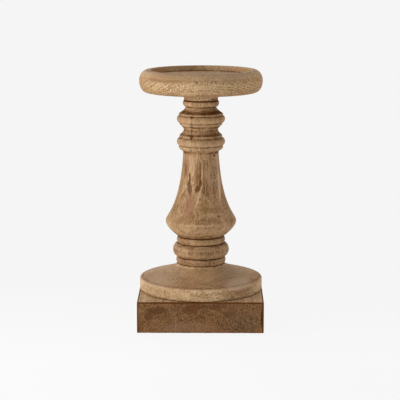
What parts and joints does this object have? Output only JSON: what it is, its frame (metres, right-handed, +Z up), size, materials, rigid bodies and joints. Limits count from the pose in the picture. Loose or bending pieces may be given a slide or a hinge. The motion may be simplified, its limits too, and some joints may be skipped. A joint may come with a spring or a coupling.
{
  "type": "candlestick",
  "caption": "Turned wooden candlestick with a recessed round plate for a pillar candle, a beaded bell-shaped column, a round foot and a square plinth.",
  "frame": {"origin": "under the middle of the plinth, on the surface that the felt pads stand on", "axes": "+Z up along the column, -Y towards the viewer of the picture, +X to the viewer's right; the plinth's sides lie along X and Y"},
  "size_m": [0.12, 0.12, 0.2447],
  "materials": {
    "plate_wood": "waxed, open grain, grain along Y, so that the front and back of the rim are end grain",
    "plug_wood": "waxed, open grain, face grain along Y",
    "column_wood": "waxed, open grain, grain along Z with darker streaks",
    "foot_wood": "waxed, open grain, grain at 45 degrees to the plinth's sides",
    "plinth_wood": "waxed, end grain on the front and back, darker there",
    "screw_steel": "zinc plated",
    "pad_felt": "pressed wool felt"
  },
  "bodies": {
    "root": {"candle_plate": "plate_wood", "plate_plug": "plug_wood", "plate_screw": "screw_steel", "column": "column_wood", "round_foot": "foot_wood", "plinth": "plinth_wood", "base_screw": "screw_steel", "base_washer": "screw_steel", "foot_screw_1": "screw_steel", "foot_screw_2": "screw_steel", "foot_screw_3": "screw_steel", "foot_screw_4": "screw_steel", "felt_pad_1": "pad_felt", "felt_pad_2": "pad_felt", "felt_pad_3": "pad_felt", "felt_pad_4": "pad_felt"}
  },
  "joints": []
}
